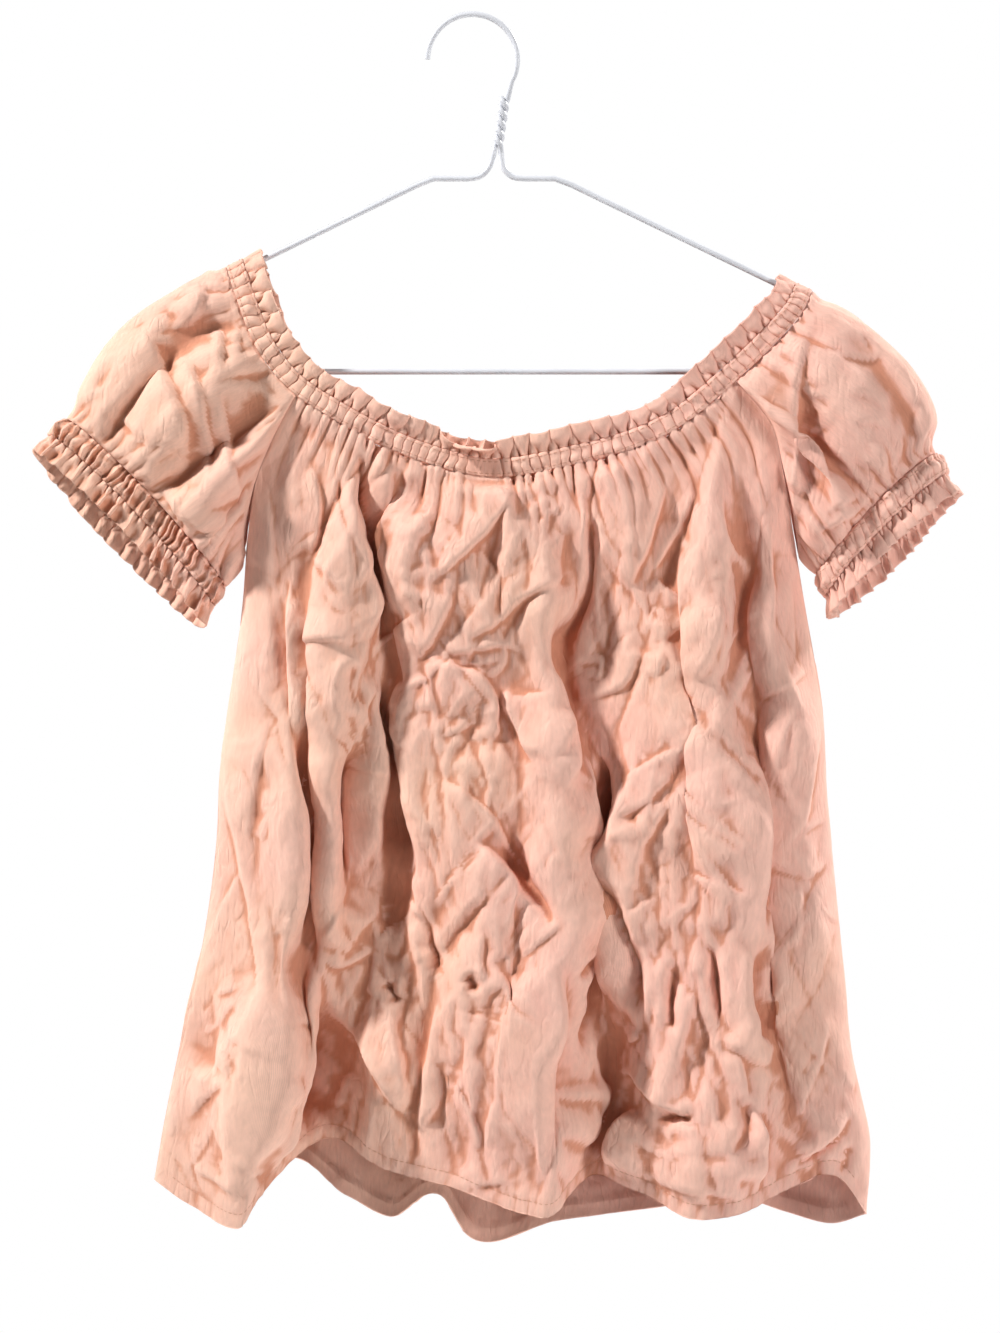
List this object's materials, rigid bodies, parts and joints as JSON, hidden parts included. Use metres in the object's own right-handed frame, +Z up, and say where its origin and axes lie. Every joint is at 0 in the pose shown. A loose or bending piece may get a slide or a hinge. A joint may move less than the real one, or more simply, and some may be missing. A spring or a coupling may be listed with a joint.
{
  "type": "off-shoulder top on a wire hanger",
  "caption": "Off-shoulder top with a gathered elastic neck and short gathered puff sleeves, hanging creased on a bent wire hanger.",
  "frame": {"origin": "underside of the hook's top, where a nail or rail bears", "axes": "+Z up, +X to the right seen from the garment's front, +Y towards the garment's back"},
  "size_m": [0.5391, 0.0778, 0.7129],
  "materials": {
    "cloth": "matt crumpled plain weave",
    "wire": "satin white coating"
  },
  "bodies": {
    "root": {"front": "cloth", "back": "cloth", "sleeve_left": "cloth", "sleeve_right": "cloth", "neck_casing": "cloth", "neck_ruffle": "cloth", "cuff_casing_left": "cloth", "cuff_casing_right": "cloth", "cuff_ruffle_left": "cloth", "cuff_ruffle_right": "cloth", "hanger": "wire"}
  },
  "joints": []
}
